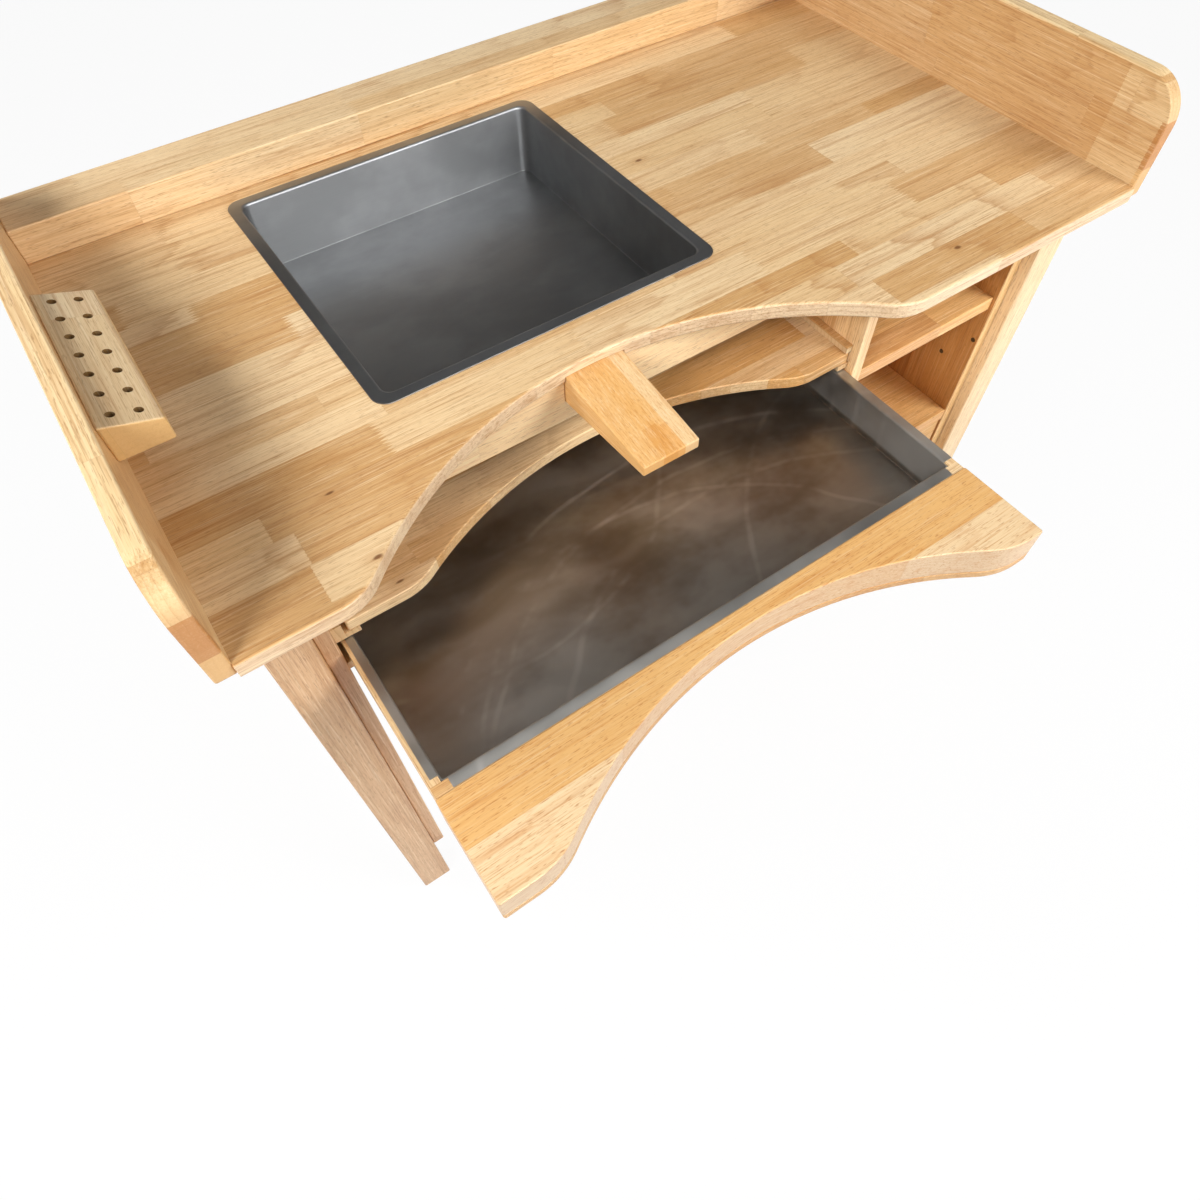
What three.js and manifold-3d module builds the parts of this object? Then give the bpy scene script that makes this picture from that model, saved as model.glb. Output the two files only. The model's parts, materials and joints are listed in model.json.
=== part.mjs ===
// A jeweller's bench: a wooden work top with a curved cut-out, a steel solder pan let into it, a bench pin,
// a pull-out shelf, a catch drawer with an armrest, and a narrow cabinet on the right.
// Units are millimetres: X to the right, Y to the back, Z up from the floor.
// The pieces are laid out with X 0 in the middle of the bench and Y 0 at the front edge of the work top,
// and the whole bench is then moved so that the origin lies below the middle of its box.

import * as THREE from 'three';
import { mergeVertices } from 'three/addons/utils/BufferGeometryUtils.js';
import Module from 'manifold-3d';

const wasm = await Module();
wasm.setup();

// Work top, and the curve that the worker sits in
const benchWidth = 1200;
const benchDepth = 710;
const workHeight = 890;
const topThickness = 20;
const topEase = 5;
const scoopShift = 10.5;
const cutoutMargin = 27;
const cutoutDepth = 138;
const cutoutCornerRun = 26;

// Boards that stand on and beside the work top
const upstandThickness = 20;
const upstandHeight = 117;
const upstandSetback = 3;
const upstandNoseRadius = 50;
const upstandToeRadius = 8;
const ledgeDepth = 73;
const ledgeHeight = 42;

// Tool block on the left upstand, with a sloping top
const toolBlockFront = 200;
const toolBlockLength = 208;
const toolBlockWidth = 52;
const toolBlockLift = 62;
const toolBlockTallSide = 41;
const toolBlockLowSide = 25;
const toolHoleDiameter = 8;
const toolHolePitch = 29.5;
const toolHoleCount = 7;
const toolHoleRows = [15, 36.5];

// Solder pan
const panLeft = -352;
const panFront = 194;
const panWidth = 435;
const panLedgeGap = 20;
const panFlange = 15;
const panDepth = 88;
const panSheet = 1.5;
const panFlangeRadius = 18;
const panTubRadius = 12;
const panGap = 1;

// Bench pin and the rail that holds it
const railThickness = 20;
const railHeight = 56;
const railSetback = 2;
const pinWidth = 74;
const pinShift = 3;
const pinTipNarrowing = 2;
const pinBackDrop = 13;
const pinBackThickness = 37;
const pinTipDrop = 29;
const pinTipThickness = 13;
const pinGap = 1;

// Legs and upright panels
const legSize = 48;
const legInsetLeft = 15;
const legInsetRight = 24;
const legSetback = 43;
const panelThickness = 18;
const panelSetback = 59;
const panelFloorGap = 116;
const backRailHeight = 100;
const stretcherLift = 250;

// Cabinet on the right
const cabinetWidth = 260;
const cabinetSheet = 6;
const cabinetShelfDrop = 160;
const cabinetBoardDrop = 370;
const cabinetBoardThickness = 20;
const cabinetShelfSetback = 65;
const cabinetBoardSetback = 60;
const boltHoleDiameter = 6;
const boltHoleDepth = 8;
const boltHolePlaces = [[67, 235], [107, 284]];

// Pull-out shelf
const shelfDrop = 120;
const shelfThickness = 16;
const shelfSetback = 70;
const shelfBackGap = 111;
const shelfArcMargin = 93.5;
const shelfArcDepth = 78;
const shelfCornerRun = 22;
const shelfGap = 3;
const shelfLeftGap = 5;
const guideWidth = 12;
const guideFootWidth = 17;
const guideFootHeight = 7.5;
const slidingGap = 0.5;
const keeperSize = 10;

// Drawers: walls, grooves and the strips they run on
const drawerWall = 12;
const drawerBottom = 6;
const drawerSideGap = 5;
const grooveDepth = 6.5;
const grooveHeight = 13;
const runnerHeight = 12;
const runnerSideGap = 0.5;

// Catch drawer, drawn as it stands in the rest pose: pulled part of the way out
const catchPullLength = 180;
const catchClosedSetback = 48;
const catchBackGap = 23;
const catchHeight = 67;
const catchRimGap = 2;
const linerSheet = 1.25;
const linerDepth = 55;
const linerGap = 0.5;
const linerCornerNotch = 13;
const linerRimInset = 4;
const linerEndInset = 0.5;
const armrestReach = 115;
const armrestThickness = 42;
const armrestBaseThickness = 10;
const armrestArcMargin = 60.5;
const armrestArcDepth = 94;
const armrestCornerRun = 30;
const armrestSideGap = 3.5;

// Cabinet drawers
const cabinetDrawerNames = ['lower_drawer', 'upper_drawer'];
const cabinetDrawerGap = 2;
const cabinetDrawerFrontThickness = 18;
const cabinetDrawerSetback = 62;
const cabinetDrawerBackGap = 65;
const cabinetDrawerHeadroom = 36;
const cabinetDrawerLift = 10;
const knobLength = 24;
const knobRadius = 14;
const knobNeckRadius = 7;
const knobFootRadius = 9;

// Small chamfers on sawn edges, and the grid that every vertex is rounded to so that touching faces agree
const edgeEase = 1.5;
const fineEase = 0.75;
const gridStep = 1 / 64;

// Places worked out from the sizes above
const topLeft = -benchWidth / 2 + upstandThickness;
const topRight = benchWidth / 2 - upstandThickness;
const topUnder = workHeight - topThickness;
const legLeftOuter = topLeft + legInsetLeft;
const legLeftInner = legLeftOuter + legSize;
const legRightOuter = topRight - legInsetRight;
const legRightInner = legRightOuter - legSize;
const bayLeft = legLeftInner + panelThickness;
const cabinetRight = legRightInner - panelThickness;
const cabinetLeft = cabinetRight - cabinetWidth;
const bayRight = cabinetLeft - panelThickness;
const bayHalfWidth = (bayRight - bayLeft) / 2;
const scoopCentreX = (bayLeft + bayRight) / 2 + scoopShift;
const panelBack = benchDepth - panelSetback;
const backRailFront = panelBack - railThickness;
const ledgeFront = benchDepth - ledgeDepth;
const panLength = ledgeFront - panLedgeGap - panFront;
const railFront = cutoutDepth + railSetback;
const railBack = railFront + railThickness;
const pinCentreX = scoopCentreX + pinShift;
const pinBackTop = workHeight - pinBackDrop;
const pinBackUnder = pinBackTop - pinBackThickness;
const shelfTop = workHeight - shelfDrop;
const shelfUnder = shelfTop - shelfThickness;
const shelfBack = backRailFront - shelfBackGap;
const guideUnder = shelfUnder - slidingGap - guideFootHeight;
const catchRim = guideUnder - catchRimGap;
const catchLength = backRailFront - catchBackGap - catchClosedSetback;
const catchFront = catchClosedSetback - catchPullLength;
const armrestTip = catchFront - armrestReach;
const benchMiddleY = (armrestTip + benchDepth) / 2;

const paleWood = wood(0xdfb985, 0.5);
const warmWood = wood(0xd6a066, 0.5);
const pinWood = wood(0xe0a65e, 0.55);
const plyWood = wood(0xc99a68, 0.65);
const panSteel = steel(0x55585b, 0.4);
const linerSteel = steel(0x4a4541, 0.45);

function wood(color, roughness) {
  return new THREE.MeshStandardMaterial({ color, roughness, metalness: 0 });
}

function steel(color, roughness) {
  return new THREE.MeshStandardMaterial({ color, roughness, metalness: 1 });
}

// Outlines are lists of points, counter-clockwise.

function point(x, y) {
  return new THREE.Vector2(x, y);
}

function arcPoints(centre, radius, from, to, steps) {
  const points = [];
  for (let i = 0; i <= steps; i++) {
    const angle = from + (to - from) * i / steps;
    points.push(point(centre.x + radius * Math.cos(angle), centre.y + radius * Math.sin(angle)));
  }
  return points;
}

// A corner rounded by a parabola that touches both of its edges.
function cornerPoints(start, corner, end, steps) {
  return new THREE.QuadraticBezierCurve(start, corner, end).getPoints(steps);
}

// A rectangle whose corners are cut off by the same amount as its edges are eased.
function rectangle([left, right], [low, high], cut) {
  return [
    point(left + cut, low), point(right - cut, low), point(right, low + cut), point(right, high - cut),
    point(right - cut, high), point(left + cut, high), point(left, high - cut), point(left, low + cut),
  ];
}

function roundedRectangle([left, right], [low, high], radius, steps = 5) {
  const turn = Math.PI / 2;
  return [
    ...arcPoints(point(right - radius, low + radius), radius, -turn, 0, steps),
    ...arcPoints(point(right - radius, high - radius), radius, 0, turn, steps),
    ...arcPoints(point(left + radius, high - radius), radius, turn, 2 * turn, steps),
    ...arcPoints(point(left + radius, low + radius), radius, 2 * turn, 3 * turn, steps),
  ];
}

// A board seen from above: its straight front edge is scooped out by an arc, with softened corners between.
// The arc's ends keep a margin to the bay on both sides, and its radius follows from its chord and depth.
function scoopedOutline({ left, right, front, back, margin, depth, cornerRun, cut }) {
  const halfChord = bayHalfWidth - margin;
  const radius = (halfChord ** 2 + depth ** 2) / (2 * depth);
  const centre = point(scoopCentreX, front + depth - radius);
  const arcStart = Math.atan2(radius - depth, -halfChord);
  const arcEnd = Math.PI - arcStart;
  const cornerTurn = cornerRun / radius;
  const arc = arcPoints(centre, radius, arcStart - cornerTurn, arcEnd + cornerTurn, 30);
  const leftCorner = point(scoopCentreX - halfChord, front);
  const rightCorner = point(scoopCentreX + halfChord, front);
  const leftRun = point(leftCorner.x - cornerRun, front);
  const rightRun = point(rightCorner.x + cornerRun, front);
  return [
    ...cornerPoints(leftRun, leftCorner, arc[0], 5),
    ...arc.slice(1, -1),
    ...cornerPoints(arc.at(-1), rightCorner, rightRun, 5),
    ...cutCorner(point(right, front), -cut, cut).reverse(),
    ...cutCorner(point(right, back), -cut, -cut),
    ...cutCorner(point(left, back), cut, -cut).reverse(),
    ...cutCorner(point(left, front), cut, cut),
  ];
}

// The two ends of a corner's cut, the one along Y first, or the corner itself where nothing is cut off.
function cutCorner(corner, alongX, alongY) {
  if (alongX === 0) return [corner];
  return [point(corner.x, corner.y + alongY), point(corner.x + alongX, corner.y)];
}

// A flat outline given thickness between two heights, its upper and lower edges eased.
function slab(outline, [bottom, top], ease, { holes = [], steps = 1 } = {}) {
  const shape = new THREE.Shape(outline);
  shape.holes = holes.map((hole) => new THREE.Path(hole));
  const geometry = new THREE.ExtrudeGeometry(shape, {
    depth: top - bottom - 2 * ease,
    bevelEnabled: ease > 0,
    bevelThickness: ease,
    bevelSize: ease,
    bevelOffset: -ease,
    bevelSegments: steps,
  });
  return geometry.translate(0, 0, bottom + ease);
}

function board(xSpan, ySpan, zSpan, ease = edgeEase) {
  return slab(rectangle(xSpan, ySpan, ease), zSpan, ease);
}

// A profile in X and Z carried along Y.
function alongY(outline, [front, back], ease) {
  return slab(outline, [0, back - front], ease).rotateX(Math.PI / 2).translate(0, back, 0);
}

// A profile in Y and Z carried along X.
function alongX(outline, [left, right], ease) {
  const turned = new THREE.Matrix4().makeBasis(
    new THREE.Vector3(0, 1, 0), new THREE.Vector3(0, 0, 1), new THREE.Vector3(1, 0, 0));
  return slab(outline, [0, right - left], ease).applyMatrix4(turned).translate(left, 0, 0);
}

function block([left, right], [front, back], [bottom, top]) {
  const geometry = new THREE.BoxGeometry(right - left, back - front, top - bottom);
  return geometry.translate((left + right) / 2, (front + back) / 2, (bottom + top) / 2);
}

function toSolid(geometry) {
  const bare = geometry.clone();
  bare.deleteAttribute('normal');
  bare.deleteAttribute('uv');
  const merged = mergeVertices(bare, 1e-4);
  const vertProperties = new Float32Array(merged.attributes.position.array);
  const triVerts = new Uint32Array(merged.index.array);
  return new wasm.Manifold(new wasm.Mesh({ numProp: 3, vertProperties, triVerts }));
}

function toGeometry(solid) {
  const mesh = solid.getMesh();
  const geometry = new THREE.BufferGeometry();
  geometry.setAttribute('position', new THREE.BufferAttribute(mesh.vertProperties, 3));
  geometry.setIndex(new THREE.BufferAttribute(mesh.triVerts, 1));
  geometry.computeVertexNormals();
  return geometry;
}

function cutFrom(base, tools) {
  return toGeometry(tools.reduce((solid, tool) => solid.subtract(toSolid(tool)), toSolid(base)));
}

function joined(pieces) {
  return toGeometry(pieces.map(toSolid).reduce((solid, piece) => solid.add(piece)));
}

const bench = new THREE.Group();
bench.position.y = -Math.round(benchMiddleY / gridStep) * gridStep;

function add(name, geometry, material) {
  const places = geometry.attributes.position;
  for (let i = 0; i < places.array.length; i++) {
    places.array[i] = Math.round(places.array[i] / gridStep) * gridStep;
  }
  const mesh = new THREE.Mesh(geometry, material);
  mesh.name = name;
  bench.add(mesh);
}

// The box of a drawer: grooved sides, front wall, back and bottom, and the fixed strips that the sides run on.
// The walls reach from the front wall's inner face to the back, and the bottom lies on the level given.
function addDrawerBox({ name, bay, wallFront, length, floor, bottomTop, top, runnerSpan }) {
  const outer = [bay[0] + drawerSideGap, bay[1] - drawerSideGap];
  const inner = [outer[0] + drawerWall, outer[1] - drawerWall];
  const walls = [wallFront, wallFront + length];
  const grooveMiddle = (floor + top) / 2;
  for (const [side, face, wall, inward] of [['left', outer[0], bay[0], 1], ['right', outer[1], bay[1], -1]]) {
    const profile = groovedProfile(face, inward, [floor, top], grooveMiddle);
    add(`${name}_side_${side}`, alongY(profile, walls, 0), paleWood);
    const strip = [wall, face + inward * (grooveDepth - runnerSideGap)].sort((a, b) => a - b);
    const stripHeight = [grooveMiddle - runnerHeight / 2, grooveMiddle + runnerHeight / 2];
    add(`${name}_runner_${side}`, block(strip, runnerSpan, stripHeight), warmWood);
  }
  const backSpan = [walls[1] - drawerWall, walls[1]];
  add(`${name}_back`, block(inner, backSpan, [floor, top]), paleWood);
  add(`${name}_bottom`, block(inner, [walls[0], backSpan[0]], [bottomTop - drawerBottom, bottomTop]), plyWood);
}

// The section of a drawer side, with a groove cut into its outer face.
function groovedProfile(face, inward, [low, high], grooveMiddle) {
  const inside = face + inward * drawerWall;
  const groove = face + inward * grooveDepth;
  const grooveLow = grooveMiddle - grooveHeight / 2;
  const grooveHigh = grooveMiddle + grooveHeight / 2;
  const points = [
    point(face, low), point(inside, low), point(inside, high), point(face, high),
    point(face, grooveHigh), point(groove, grooveHigh), point(groove, grooveLow), point(face, grooveLow),
  ];
  return inward > 0 ? points : points.reverse();
}

function panSpans(inset) {
  return [
    [panLeft + inset, panLeft + panWidth - inset],
    [panFront + inset, panFront + panLength - inset],
  ];
}

// The front edge and the cut-out are rounded over, and the ends and the back are sawn square.
function addWorkTop() {
  const outline = scoopedOutline({
    left: topLeft - topEase, right: topRight + topEase, front: 0, back: benchDepth + topEase,
    margin: cutoutMargin, depth: cutoutDepth, cornerRun: cutoutCornerRun, cut: 0,
  });
  const panHole = roundedRectangle(...panSpans(panFlange - panSheet - panGap), panTubRadius).reverse();
  const plate = slab(outline, [topUnder, workHeight], topEase, { holes: [panHole], steps: 3 });
  const squareEnds = [
    block([topLeft - topThickness, topLeft], [-topThickness, 2 * benchDepth], [0, 2 * workHeight]),
    block([topRight, topRight + topThickness], [-topThickness, 2 * benchDepth], [0, 2 * workHeight]),
    block([-benchWidth, benchWidth], [benchDepth, benchDepth + topThickness], [0, 2 * workHeight]),
  ];
  const halfNotch = pinWidth / 2 + pinGap;
  const notch = block(
    [pinCentreX - halfNotch, pinCentreX + halfNotch],
    [0, railBack + pinGap],
    [topUnder - topThickness, pinBackTop + pinGap]);
  add('bench_top', cutFrom(plate, [...squareEnds, notch]), paleWood);
}

function addUpstands() {
  const top = workHeight + upstandHeight;
  const turn = Math.PI / 2;
  const nose = point(upstandSetback + upstandNoseRadius, top - upstandNoseRadius);
  const toe = point(upstandSetback + upstandToeRadius, topUnder + upstandToeRadius);
  const outline = [
    ...arcPoints(toe, upstandToeRadius, 2 * turn, 3 * turn, 4),
    point(benchDepth - edgeEase, topUnder), point(benchDepth, topUnder + edgeEase),
    point(benchDepth, top - edgeEase), point(benchDepth - edgeEase, top),
    ...arcPoints(nose, upstandNoseRadius, turn, 2 * turn, 12),
  ];
  add('side_upstand_left', alongX(outline, [topLeft - upstandThickness, topLeft], edgeEase), paleWood);
  add('side_upstand_right', alongX(outline, [topRight, topRight + upstandThickness], edgeEase), paleWood);
}

function addLedge() {
  const heights = [workHeight, workHeight + ledgeHeight];
  add('back_ledge', board([topLeft, topRight], [ledgeFront, benchDepth], heights), paleWood);
}

// The block's section slopes from its tall side at the upstand to its low side over the bench.
function addToolBlock() {
  const under = workHeight + toolBlockLift;
  const freeEdge = topLeft + toolBlockWidth;
  const section = [
    point(topLeft, under), point(freeEdge, under), point(freeEdge, under + toolBlockLowSide),
    point(topLeft, under + toolBlockTallSide),
  ];
  const body = alongY(section, [toolBlockFront, toolBlockFront + toolBlockLength], edgeEase);
  const middle = toolBlockFront + toolBlockLength / 2;
  const holes = [];
  for (const row of toolHoleRows) {
    for (let i = 0; i < toolHoleCount; i++) {
      const radius = toolHoleDiameter / 2;
      const drill = new THREE.CylinderGeometry(radius, radius, toolBlockTallSide * 3, 16).rotateX(Math.PI / 2);
      const place = middle + (i - (toolHoleCount - 1) / 2) * toolHolePitch;
      holes.push(drill.translate(topLeft + row, place, under));
    }
  }
  add('tool_block', cutFrom(body, holes), warmWood);
}

function addSolderPan() {
  const flangeTop = workHeight + panSheet;
  const flange = slab(roundedRectangle(...panSpans(0), panFlangeRadius), [workHeight, flangeTop], 0);
  const outside = roundedRectangle(...panSpans(panFlange - panSheet), panTubRadius);
  const inside = roundedRectangle(...panSpans(panFlange), panTubRadius - panSheet);
  const tub = slab(outside, [workHeight - panDepth - panSheet, flangeTop], 0);
  const hollow = slab(inside, [workHeight - panDepth, flangeTop + panDepth], 0);
  add('solder_pan', cutFrom(joined([flange, tub]), [hollow]), panSteel);
}

function addFrontRail() {
  const low = topUnder - railHeight;
  const halfSlot = pinWidth / 2 + pinGap;
  const slotLow = pinBackUnder;
  const outline = [
    point(bayLeft, low), point(bayRight, low), point(bayRight, topUnder),
    point(pinCentreX + halfSlot, topUnder), point(pinCentreX + halfSlot, slotLow),
    point(pinCentreX - halfSlot, slotLow), point(pinCentreX - halfSlot, topUnder),
    point(bayLeft, topUnder),
  ];
  add('front_rail', alongY(outline, [railFront, railBack], 0), paleWood);
}

// The pin is a wedge that reaches from the rail to the line of the top's front edge, narrowing to its tip.
function addBenchPin() {
  const tipTop = workHeight - pinTipDrop;
  const outline = [
    point(0, tipTop - pinTipThickness), point(cutoutDepth, pinBackUnder), point(railBack, pinBackUnder),
    point(railBack, pinBackTop), point(cutoutDepth, pinBackTop), point(0, tipTop),
  ];
  const geometry = alongX(outline, [-pinWidth / 2, pinWidth / 2], edgeEase);
  const places = geometry.attributes.position;
  for (let i = 0; i < places.count; i++) {
    const towardsTip = Math.max(0, 1 - places.getY(i) / cutoutDepth);
    places.setX(i, places.getX(i) * (1 - towardsTip * 2 * pinTipNarrowing / pinWidth));
  }
  add('bench_pin', geometry.translate(pinCentreX, 0, 0), pinWood);
}

function addSlideShelf() {
  const shelfLeft = bayLeft + guideWidth + shelfLeftGap;
  const outline = scoopedOutline({
    left: shelfLeft, right: bayRight - shelfGap, front: shelfSetback, back: shelfBack,
    margin: shelfArcMargin, depth: shelfArcDepth, cornerRun: shelfCornerRun, cut: edgeEase,
  });
  add('slide_shelf', slab(outline, [shelfUnder, shelfTop], edgeEase), paleWood);
  const span = [shelfSetback, shelfBack];
  const footTop = guideUnder + guideFootHeight;
  const guideFace = bayLeft + guideWidth;
  const guide = [
    point(bayLeft, guideUnder), point(guideFace + guideFootWidth, guideUnder),
    point(guideFace + guideFootWidth, footTop), point(guideFace, footTop),
    point(guideFace, shelfTop), point(bayLeft, shelfTop),
  ];
  add('shelf_guide_left', alongY(guide, span, 0), paleWood);
  add('shelf_cleat_right', block([bayRight - guideFootWidth, bayRight], span, [guideUnder, footTop]), paleWood);
  const keeperLow = shelfTop + slidingGap;
  const keeperHeights = [keeperLow, keeperLow + keeperSize];
  add('shelf_keeper_right', board([bayRight - keeperSize, bayRight], span, keeperHeights, fineEase), warmWood);
}

function addFrame() {
  const legSpans = { left: [legLeftOuter, legLeftInner], right: [legRightInner, legRightOuter] };
  const backLegFront = benchDepth - legSetback - legSize;
  for (const [side, span] of Object.entries(legSpans)) {
    add(`leg_front_${side}`, board(span, [legSetback, legSetback + legSize], [0, topUnder]), warmWood);
    add(`leg_back_${side}`, board(span, [backLegFront, backLegFront + legSize], [0, topUnder]), warmWood);
  }
  const panelSpan = [panelSetback, panelBack];
  const panelHeights = [panelFloorGap, topUnder];
  add('side_panel_left', board([legLeftInner, bayLeft], panelSpan, panelHeights), paleWood);
  add('cabinet_divider', board([bayRight, cabinetLeft], panelSpan, panelHeights), paleWood);
  const rightPanel = board([cabinetRight, legRightInner], panelSpan, panelHeights);
  const boltHoles = boltHolePlaces.map(([place, drop]) => {
    const radius = boltHoleDiameter / 2;
    const drill = new THREE.CylinderGeometry(radius, radius, 2 * boltHoleDepth, 12).rotateZ(Math.PI / 2);
    return drill.translate(cabinetRight, place, workHeight - drop);
  });
  add('side_panel_right', cutFrom(rightPanel, boltHoles), warmWood);
  const railSpan = [backRailFront, panelBack];
  const bay = [bayLeft, bayRight];
  add('back_rail', board(bay, railSpan, [topUnder - backRailHeight, topUnder]), paleWood);
  add('back_stretcher', board(bay, railSpan, [stretcherLift, stretcherLift + backRailHeight]), paleWood);
}

function addCabinet() {
  const width = [cabinetLeft, cabinetRight];
  const back = panelBack - cabinetSheet;
  const boards = {
    cabinet_shelf: [cabinetShelfSetback, workHeight - cabinetShelfDrop],
    cabinet_board: [cabinetBoardSetback, workHeight - cabinetBoardDrop],
    cabinet_bottom: [cabinetBoardSetback, panelFloorGap + cabinetBoardThickness],
  };
  for (const [name, [front, top]] of Object.entries(boards)) {
    add(name, board(width, [front, back], [top - cabinetBoardThickness, top]), warmWood);
  }
  add('cabinet_back', block(width, [back, panelBack], [panelFloorGap, topUnder]), plyWood);
}

function addCatchDrawer() {
  const wallTop = catchRim - linerSheet;
  const floor = catchRim - catchHeight;
  const bottomTop = catchRim - linerDepth - linerSheet;
  const outer = [bayLeft + drawerSideGap, bayRight - drawerSideGap];
  const wallFront = catchFront + drawerWall;
  add('catch_drawer_front', block(outer, [catchFront, wallFront], [floor, wallTop]), paleWood);
  addDrawerBox({
    name: 'catch_drawer', bay: [bayLeft, bayRight], wallFront, length: catchLength - drawerWall,
    floor, bottomTop, top: wallTop,
    runnerSpan: [catchClosedSetback + drawerWall + catchRimGap, backRailFront],
  });
  addLiner(outer, wallFront, bottomTop, wallTop);
  addArmrest();
}

// The steel tray in the catch drawer: a tub with a flat rim on each wall, open at the corners.
function addLiner([outerLeft, outerRight], wallFront, bottomTop, wallTop) {
  const backWall = catchFront + catchLength - drawerWall;
  const tubX = [outerLeft + drawerWall + linerGap, outerRight - drawerWall - linerGap];
  const tubY = [wallFront + linerGap, backWall - linerGap];
  const tub = block(tubX, tubY, [bottomTop, catchRim]);
  const rimHeights = [wallTop, catchRim];
  const rimX = [outerLeft + linerRimInset, outerRight - linerRimInset];
  const rimY = [catchFront + linerEndInset, backWall + drawerWall - linerEndInset];
  const sideRim = block(rimX, [wallFront + linerCornerNotch / 2, backWall - linerCornerNotch / 2], rimHeights);
  const endRim = block([tubX[0] + linerCornerNotch / 2, tubX[1] - linerCornerNotch / 2], rimY, rimHeights);
  const hollow = block(
    [tubX[0] + linerSheet, tubX[1] - linerSheet],
    [tubY[0] + linerSheet, tubY[1] - linerSheet],
    [bottomTop + linerSheet, catchRim + linerDepth]);
  add('catch_drawer_liner', cutFrom(joined([tub, sideRim, endRim]), [hollow]), linerSteel);
}

function addArmrest() {
  const outline = scoopedOutline({
    left: bayLeft + armrestSideGap, right: bayRight - armrestSideGap, front: armrestTip, back: catchFront,
    margin: armrestArcMargin, depth: armrestArcDepth, cornerRun: armrestCornerRun, cut: 2 * edgeEase,
  });
  const under = catchRim - armrestThickness;
  add('armrest', slab(outline, [under, catchRim], edgeEase), warmWood);
  add('armrest_base', slab(outline, [under - armrestBaseThickness, under], fineEase), paleWood);
}

// The drawers share the height between the cabinet's bottom and its lower board.
function addCabinetDrawers() {
  const low = panelFloorGap + cabinetBoardThickness;
  const high = workHeight - cabinetBoardDrop - cabinetBoardThickness;
  const pitch = (high - low - cabinetDrawerGap) / cabinetDrawerNames.length;
  const frontX = [cabinetLeft + cabinetDrawerGap, cabinetRight - cabinetDrawerGap];
  const wallFront = cabinetDrawerSetback + cabinetDrawerFrontThickness;
  const length = panelBack - cabinetSheet - cabinetDrawerBackGap - wallFront;
  cabinetDrawerNames.forEach((name, i) => {
    const frontLow = low + cabinetDrawerGap + i * pitch;
    const frontHigh = frontLow + pitch - cabinetDrawerGap;
    const floor = frontLow + cabinetDrawerLift;
    add(`${name}_front`, board(frontX, [cabinetDrawerSetback, wallFront], [frontLow, frontHigh]), warmWood);
    addDrawerBox({
      name, bay: [cabinetLeft, cabinetRight], wallFront, length,
      floor, bottomTop: floor + 2 * drawerBottom, top: frontHigh - cabinetDrawerHeadroom,
      runnerSpan: [wallFront + cabinetDrawerGap, panelBack - cabinetSheet],
    });
    addKnob(`${name}_knob`, (cabinetLeft + cabinetRight) / 2, (frontLow + frontHigh) / 2);
  });
}

// A turned knob: a foot, a narrow neck and a rounded head.
function addKnob(name, x, z) {
  const headMiddle = knobLength * 0.65;
  const headHalf = knobLength - headMiddle;
  const profile = [point(0, 0), point(knobFootRadius, 0), point(knobNeckRadius, knobLength * 0.2)];
  for (let i = 0; i <= 6; i++) {
    const angle = -Math.PI / 3 + (Math.PI / 3 + Math.PI / 2) * i / 6;
    profile.push(point(knobRadius * Math.cos(angle), headMiddle + headHalf * Math.sin(angle)));
  }
  profile[profile.length - 1].x = 0;
  const knob = new THREE.LatheGeometry(profile, 20).rotateX(Math.PI);
  add(name, knob.translate(x, cabinetDrawerSetback, z), warmWood);
}

addWorkTop();
addUpstands();
addLedge();
addToolBlock();
addSolderPan();
addFrontRail();
addBenchPin();
addSlideShelf();
addFrame();
addCabinet();
addCatchDrawer();
addCabinetDrawers();

export default bench;
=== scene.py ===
import json
import bpy
import numpy as np
from mathutils import Matrix, Vector


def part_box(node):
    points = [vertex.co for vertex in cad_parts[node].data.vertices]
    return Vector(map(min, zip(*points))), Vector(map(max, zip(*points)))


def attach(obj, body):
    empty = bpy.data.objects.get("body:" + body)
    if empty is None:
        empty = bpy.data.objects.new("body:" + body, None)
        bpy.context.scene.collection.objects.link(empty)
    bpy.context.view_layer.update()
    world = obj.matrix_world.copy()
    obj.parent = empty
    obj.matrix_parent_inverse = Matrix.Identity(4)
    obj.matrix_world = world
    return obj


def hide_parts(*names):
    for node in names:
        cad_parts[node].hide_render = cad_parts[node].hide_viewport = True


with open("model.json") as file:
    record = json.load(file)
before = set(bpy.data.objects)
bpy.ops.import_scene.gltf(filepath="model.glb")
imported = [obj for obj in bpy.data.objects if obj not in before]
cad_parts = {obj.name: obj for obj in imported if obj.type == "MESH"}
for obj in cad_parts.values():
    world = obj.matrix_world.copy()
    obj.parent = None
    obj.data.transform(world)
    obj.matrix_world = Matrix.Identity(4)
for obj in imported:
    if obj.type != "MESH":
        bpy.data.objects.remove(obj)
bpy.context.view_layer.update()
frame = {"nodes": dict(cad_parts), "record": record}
nodeBody = {node: body for body, nodes in frame["record"]["behaviour"]["bodies"].items() for node in nodes}

# Sizes are millimetres: X 0 in the middle of the bench, Y 0 at the work top's front edge, Z from the floor.
layout = {"frontEdge": -231.5, "workHeight": 890.0, "scoopCentre": -133.0, "bayHalfWidth": 355.5}


def toMetres(points):
    return (np.asarray(points, float) + (0, layout["frontEdge"], 0)) / 1000


def toMillimetres(points):
    return np.asarray(points) * 1000 - (0, layout["frontEdge"], 0)


def nodeSpans(node):
    # rows of low and high for X, Y and Z
    return toMillimetres(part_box(node)).T


def srgb(red, green, blue):
    # a colour as read on a screen, turned into light
    share = np.array([red, green, blue]) / 255
    light = np.where(share <= 0.04045, share / 12.92, ((share + 0.055) / 1.055) ** 2.4)
    return (*light.tolist(), 1.0)


def shades(*rows):
    return [srgb(*row) for row in rows]


# shader maths

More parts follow.
